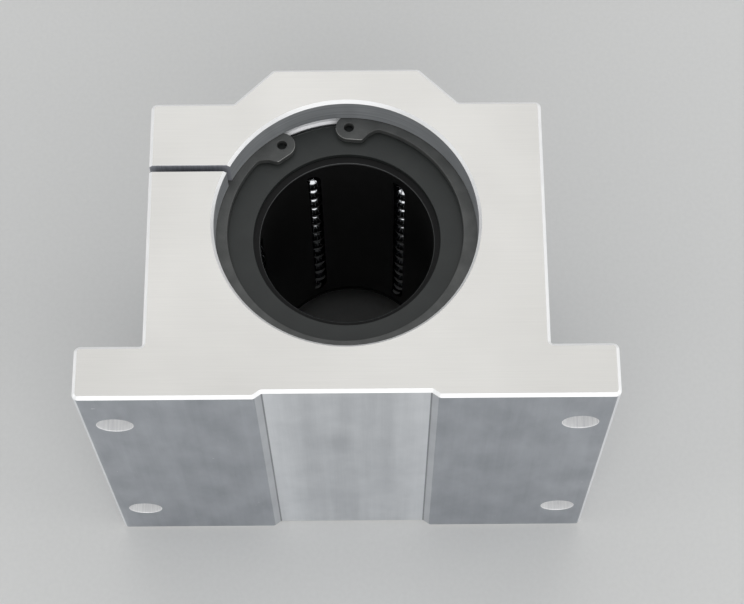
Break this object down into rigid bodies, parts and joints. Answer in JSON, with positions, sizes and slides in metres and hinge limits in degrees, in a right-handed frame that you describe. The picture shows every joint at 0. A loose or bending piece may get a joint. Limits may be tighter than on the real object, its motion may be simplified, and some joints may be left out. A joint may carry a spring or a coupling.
{
  "type": "linear ball bushing",
  "caption": "Linear ball bushing in an aluminium pillow block with a clamp slot, retaining rings, wiper seals and recirculating rows of balls round the shaft bore.",
  "frame": {"origin": "middle of the rear end face's bounding rectangle, midway between the sides and midway between the mounting face and the crown", "axes": "+Z along the shaft bore, out of the front end face; +X to the right seen from the front; the mounting face looks towards -Y"},
  "size_m": [0.1524, 0.1032, 0.127],
  "materials": {
    "milled_aluminium": "fine milled end faces, extruded sides",
    "black_steel": "black oxide",
    "ring_steel": "phosphated",
    "bearing_steel": "ground",
    "ball_steel": "polished",
    "sleeve_polymer": "moulded",
    "cage_polymer": "moulded",
    "end_ring_polymer": "moulded, matt",
    "seal_rubber": "matt"
  },
  "bodies": {
    "housing_assembly": {"housing": "milled_aluminium", "front_retaining_ring": "ring_steel", "rear_retaining_ring": "ring_steel", "outer_sleeve": "sleeve_polymer", "ball_cage": "cage_polymer", "front_end_ring": "end_ring_polymer", "rear_end_ring": "end_ring_polymer", "front_seal": "seal_rubber", "rear_seal": "seal_rubber"},
    "adjusting_screw": {"adjusting_screw": "black_steel"},
    "bearing_plate_1": {"bearing_plate_1": "bearing_steel"},
    "loaded_ball_row_1": {"loaded_ball_row_1": "ball_steel"},
    "return_ball_row_1": {"return_ball_row_1": "ball_steel"},
    "front_turn_balls_1": {"front_turn_balls_1": "ball_steel"},
    "rear_turn_balls_1": {"rear_turn_balls_1": "ball_steel"},
    "bearing_plate_2": {"bearing_plate_2": "bearing_steel"},
    "loaded_ball_row_2": {"loaded_ball_row_2": "ball_steel"},
    "return_ball_row_2": {"return_ball_row_2": "ball_steel"},
    "front_turn_balls_2": {"front_turn_balls_2": "ball_steel"},
    "rear_turn_balls_2": {"rear_turn_balls_2": "ball_steel"},
    "bearing_plate_3": {"bearing_plate_3": "bearing_steel"},
    "loaded_ball_row_3": {"loaded_ball_row_3": "ball_steel"},
    "return_ball_row_3": {"return_ball_row_3": "ball_steel"},
    "front_turn_balls_3": {"front_turn_balls_3": "ball_steel"},
    "rear_turn_balls_3": {"rear_turn_balls_3": "ball_steel"},
    "bearing_plate_4": {"bearing_plate_4": "bearing_steel"},
    "loaded_ball_row_4": {"loaded_ball_row_4": "ball_steel"},
    "return_ball_row_4": {"return_ball_row_4": "ball_steel"},
    "front_turn_balls_4": {"front_turn_balls_4": "ball_steel"},
    "rear_turn_balls_4": {"rear_turn_balls_4": "ball_steel"},
    "bearing_plate_5": {"bearing_plate_5": "bearing_steel"},
    "loaded_ball_row_5": {"loaded_ball_row_5": "ball_steel"},
    "return_ball_row_5": {"return_ball_row_5": "ball_steel"},
    "front_turn_balls_5": {"front_turn_balls_5": "ball_steel"},
    "rear_turn_balls_5": {"rear_turn_balls_5": "ball_steel"},
    "bearing_plate_6": {"bearing_plate_6": "bearing_steel"},
    "loaded_ball_row_6": {"loaded_ball_row_6": "ball_steel"},
    "return_ball_row_6": {"return_ball_row_6": "ball_steel"},
    "front_turn_balls_6": {"front_turn_balls_6": "ball_steel"},
    "rear_turn_balls_6": {"rear_turn_balls_6": "ball_steel"}
  },
  "joints": [
    {"name": "adjusting_screw_turn", "type": "hinge", "parent": "housing_assembly", "child": "adjusting_screw", "pos_m": [-0.047, 0.03098, 0.0635], "axis": [0, -1, 0], "range_deg": [-180, 90]},
    {"name": "bearing_plate_1_rock", "type": "hinge", "parent": "housing_assembly", "child": "bearing_plate_1", "pos_m": [0.02295, 0.03229, 0.0635], "axis": [-0.7934, 0.6088, 0], "range_deg": [-0.5, 0.5]},
    {"name": "loaded_ball_row_1_roll", "type": "slide", "parent": "bearing_plate_1", "child": "loaded_ball_row_1", "axis": [0, 0, 1], "range_m": [-0.003, 0.003]},
    {"name": "return_ball_row_1_roll", "type": "slide", "parent": "housing_assembly", "child": "return_ball_row_1", "axis": [0, 0, 1], "range_m": [-0.00301, 0.00301]},
    {"name": "front_turn_balls_1_roll", "type": "hinge", "parent": "housing_assembly", "child": "front_turn_balls_1", "pos_m": [0.01481, 0.02881, 0.10196], "axis": [-0.8241, -0.5664, 0], "range_deg": [-38, 38]},
    {"name": "rear_turn_balls_1_roll", "type": "hinge", "parent": "housing_assembly", "child": "rear_turn_balls_1", "pos_m": [0.01481, 0.02881, 0.02505], "axis": [-0.8241, -0.5664, 0], "range_deg": [-38, 38]},
    {"name": "bearing_plate_2_rock", "type": "hinge", "parent": "housing_assembly", "child": "bearing_plate_2", "pos_m": [-0.01443, 0.03721, 0.0635], "axis": [-0.9239, -0.3827, 0], "range_deg": [-0.5, 0.5]},
    {"name": "loaded_ball_row_2_roll", "type": "slide", "parent": "bearing_plate_2", "child": "loaded_ball_row_2", "axis": [0, 0, 1], "range_m": [-0.003, 0.003]},
    {"name": "return_ball_row_2_roll", "type": "slide", "parent": "housing_assembly", "child": "return_ball_row_2", "axis": [0, 0, 1], "range_m": [-0.00301, 0.00301]},
    {"name": "front_turn_balls_2_roll", "type": "hinge", "parent": "housing_assembly", "child": "front_turn_balls_2", "pos_m": [-0.01549, 0.02842, 0.10196], "axis": [0.0785, -0.9969, 0], "range_deg": [-38, 38]},
    {"name": "rear_turn_balls_2_roll", "type": "hinge", "parent": "housing_assembly", "child": "rear_turn_balls_2", "pos_m": [-0.01549, 0.02842, 0.02505], "axis": [0.0785, -0.9969, 0], "range_deg": [-38, 38]},
    {"name": "bearing_plate_3_rock", "type": "hinge", "parent": "housing_assembly", "child": "bearing_plate_3", "pos_m": [-0.03738, 0.0073, 0.0635], "axis": [-0.1305, -0.9914, 0], "range_deg": [-0.5, 0.5]},
    {"name": "loaded_ball_row_3_roll", "type": "slide", "parent": "bearing_plate_3", "child": "loaded_ball_row_3", "axis": [0, 0, 1], "range_m": [-0.003, 0.003]},
    {"name": "return_ball_row_3_roll", "type": "slide", "parent": "housing_assembly", "child": "return_ball_row_3", "axis": [0, 0, 1], "range_m": [-0.00301, 0.00301]},
    {"name": "front_turn_balls_3_roll", "type": "hinge", "parent": "housing_assembly", "child": "front_turn_balls_3", "pos_m": [-0.0303, 0.00199, 0.10196], "axis": [0.9026, -0.4305, 0], "range_deg": [-38, 38]},
    {"name": "rear_turn_balls_3_roll", "type": "hinge", "parent": "housing_assembly", "child": "rear_turn_balls_3", "pos_m": [-0.0303, 0.00199, 0.02505], "axis": [0.9026, -0.4305, 0], "range_deg": [-38, 38]},
    {"name": "bearing_plate_4_rock", "type": "hinge", "parent": "housing_assembly", "child": "bearing_plate_4", "pos_m": [-0.02295, -0.02753, 0.0635], "axis": [0.7934, -0.6088, 0], "range_deg": [-0.5, 0.5]},
    {"name": "loaded_ball_row_4_roll", "type": "slide", "parent": "bearing_plate_4", "child": "loaded_ball_row_4", "axis": [0, 0, 1], "range_m": [-0.003, 0.003]},
    {"name": "return_ball_row_4_roll", "type": "slide", "parent": "housing_assembly", "child": "return_ball_row_4", "axis": [0, 0, 1], "range_m": [-0.00301, 0.00301]},
    {"name": "front_turn_balls_4_roll", "type": "hinge", "parent": "housing_assembly", "child": "front_turn_balls_4", "pos_m": [-0.01481, -0.02405, 0.10196], "axis": [0.8241, 0.5664, 0], "range_deg": [-38, 38]},
    {"name": "rear_turn_balls_4_roll", "type": "hinge", "parent": "housing_assembly", "child": "rear_turn_balls_4", "pos_m": [-0.01481, -0.02405, 0.02505], "axis": [0.8241, 0.5664, 0], "range_deg": [-38, 38]},
    {"name": "bearing_plate_5_rock", "type": "hinge", "parent": "housing_assembly", "child": "bearing_plate_5", "pos_m": [0.01443, -0.03245, 0.0635], "axis": [0.9239, 0.3827, 0], "range_deg": [-0.5, 0.5]},
    {"name": "loaded_ball_row_5_roll", "type": "slide", "parent": "bearing_plate_5", "child": "loaded_ball_row_5", "axis": [0, 0, 1], "range_m": [-0.003, 0.003]},
    {"name": "return_ball_row_5_roll", "type": "slide", "parent": "housing_assembly", "child": "return_ball_row_5", "axis": [0, 0, 1], "range_m": [-0.00301, 0.00301]},
    {"name": "front_turn_balls_5_roll", "type": "hinge", "parent": "housing_assembly", "child": "front_turn_balls_5", "pos_m": [0.01549, -0.02366, 0.10196], "axis": [-0.0785, 0.9969, 0], "range_deg": [-38, 38]},
    {"name": "rear_turn_balls_5_roll", "type": "hinge", "parent": "housing_assembly", "child": "rear_turn_balls_5", "pos_m": [0.01549, -0.02366, 0.02505], "axis": [-0.0785, 0.9969, 0], "range_deg": [-38, 38]},
    {"name": "bearing_plate_6_rock", "type": "hinge", "parent": "housing_assembly", "child": "bearing_plate_6", "pos_m": [0.03738, -0.00254, 0.0635], "axis": [0.1305, 0.9914, 0], "range_deg": [-0.5, 0.5]},
    {"name": "loaded_ball_row_6_roll", "type": "slide", "parent": "bearing_plate_6", "child": "loaded_ball_row_6", "axis": [0, 0, 1], "range_m": [-0.003, 0.003]},
    {"name": "return_ball_row_6_roll", "type": "slide", "parent": "housing_assembly", "child": "return_ball_row_6", "axis": [0, 0, 1], "range_m": [-0.00301, 0.00301]},
    {"name": "front_turn_balls_6_roll", "type": "hinge", "parent": "housing_assembly", "child": "front_turn_balls_6", "pos_m": [0.0303, 0.00277, 0.10196], "axis": [-0.9026, 0.4305, 0], "range_deg": [-38, 38]},
    {"name": "rear_turn_balls_6_roll", "type": "hinge", "parent": "housing_assembly", "child": "rear_turn_balls_6", "pos_m": [0.0303, 0.00277, 0.02505], "axis": [-0.9026, 0.4305, 0], "range_deg": [-38, 38]}
  ],
  "couplings": [
    {"joint": "return_ball_row_1_roll", "follows": "loaded_ball_row_1_roll", "ratio": -1},
    {"joint": "front_turn_balls_1_roll", "follows": "loaded_ball_row_1_roll", "rad_per_m": 219.06},
    {"joint": "rear_turn_balls_1_roll", "follows": "loaded_ball_row_1_roll", "rad_per_m": 219.06},
    {"joint": "return_ball_row_2_roll", "follows": "loaded_ball_row_2_roll", "ratio": -1},
    {"joint": "front_turn_balls_2_roll", "follows": "loaded_ball_row_2_roll", "rad_per_m": 219.06},
    {"joint": "rear_turn_balls_2_roll", "follows": "loaded_ball_row_2_roll", "rad_per_m": 219.06},
    {"joint": "return_ball_row_3_roll", "follows": "loaded_ball_row_3_roll", "ratio": -1},
    {"joint": "front_turn_balls_3_roll", "follows": "loaded_ball_row_3_roll", "rad_per_m": 219.06},
    {"joint": "rear_turn_balls_3_roll", "follows": "loaded_ball_row_3_roll", "rad_per_m": 219.06},
    {"joint": "return_ball_row_4_roll", "follows": "loaded_ball_row_4_roll", "ratio": -1},
    {"joint": "front_turn_balls_4_roll", "follows": "loaded_ball_row_4_roll", "rad_per_m": 219.06},
    {"joint": "rear_turn_balls_4_roll", "follows": "loaded_ball_row_4_roll", "rad_per_m": 219.06},
    {"joint": "return_ball_row_5_roll", "follows": "loaded_ball_row_5_roll", "ratio": -1},
    {"joint": "front_turn_balls_5_roll", "follows": "loaded_ball_row_5_roll", "rad_per_m": 219.06},
    {"joint": "rear_turn_balls_5_roll", "follows": "loaded_ball_row_5_roll", "rad_per_m": 219.06},
    {"joint": "return_ball_row_6_roll", "follows": "loaded_ball_row_6_roll", "ratio": -1},
    {"joint": "front_turn_balls_6_roll", "follows": "loaded_ball_row_6_roll", "rad_per_m": 219.06},
    {"joint": "rear_turn_balls_6_roll", "follows": "loaded_ball_row_6_roll", "rad_per_m": 219.06}
  ]
}
